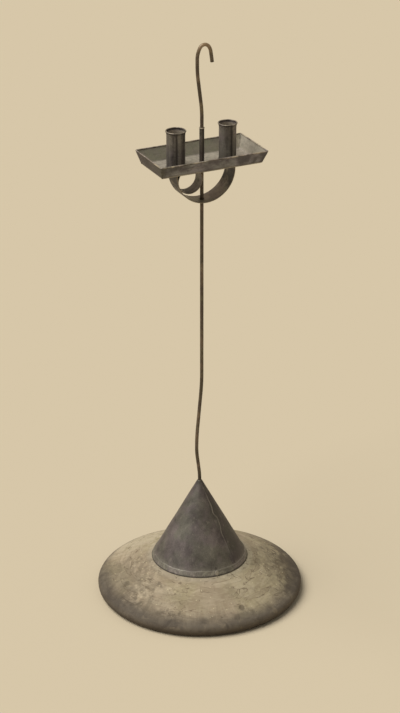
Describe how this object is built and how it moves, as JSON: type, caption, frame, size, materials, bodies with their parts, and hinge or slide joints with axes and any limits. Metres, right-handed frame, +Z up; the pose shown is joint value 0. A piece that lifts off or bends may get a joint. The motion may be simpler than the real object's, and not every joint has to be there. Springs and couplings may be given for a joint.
{
  "type": "candle stand",
  "caption": "Tall table stand: a hooked iron rod in a tin cone on a heavy round weight carries a sliding, turning tin tray with candle sockets, a spring bow and a finger ring.",
  "frame": {"origin": "centre of the weight's underside, on the floor", "axes": "+Z up along the rod; +X along the tray's long side, the way the hook opens; -Y towards the viewer"},
  "size_m": [0.2588, 0.2588, 0.7152],
  "materials": {
    "weight": "cast plaster stone, worn and crackled",
    "cone_tin": "darkened tinplate",
    "band": "solder-washed tinplate",
    "rod_iron": "browned wrought iron",
    "tray_tin": "darkened tinplate",
    "rim": "rubbed tinplate edge",
    "socket_tin": "dark tinplate",
    "strap_iron": "dark sheet iron strap",
    "solder": "dull solder"
  },
  "bodies": {
    "stand": {"base_weight": "weight", "base_cone": "cone_tin", "cone_seam": "cone_tin", "cone_band": "band", "band_patch": "solder", "apex_solder": "solder", "rod": "rod_iron", "rod_hook": "rod_iron", "rod_collar": "rod_iron", "rod_washer": "rod_iron", "rod_nut": "rod_iron"},
    "slider": {"sleeve": "tray_tin"},
    "tray": {"tray_pan": "tray_tin", "tray_rim_wire": "rim", "tray_corner_solder": "solder", "left_socket": "socket_tin", "left_socket_seam": "socket_tin", "left_socket_solder": "solder", "right_socket": "socket_tin", "right_socket_seam": "socket_tin", "right_socket_solder": "solder", "sleeve_solder": "solder", "bow_spring": "strap_iron", "bow_bead": "solder", "bow_solder": "solder", "finger_ring": "strap_iron", "ring_solder": "solder"}
  },
  "joints": [
    {"name": "tray_height", "type": "slide", "parent": "stand", "child": "slider", "axis": [0, 0, 1], "range_m": [-0.22, 0.01]},
    {"name": "tray_swivel", "type": "hinge", "parent": "slider", "child": "tray", "pos_m": [0.0029, 0, 0.5696], "axis": [0, 0, 1], "continuous": true}
  ]
}
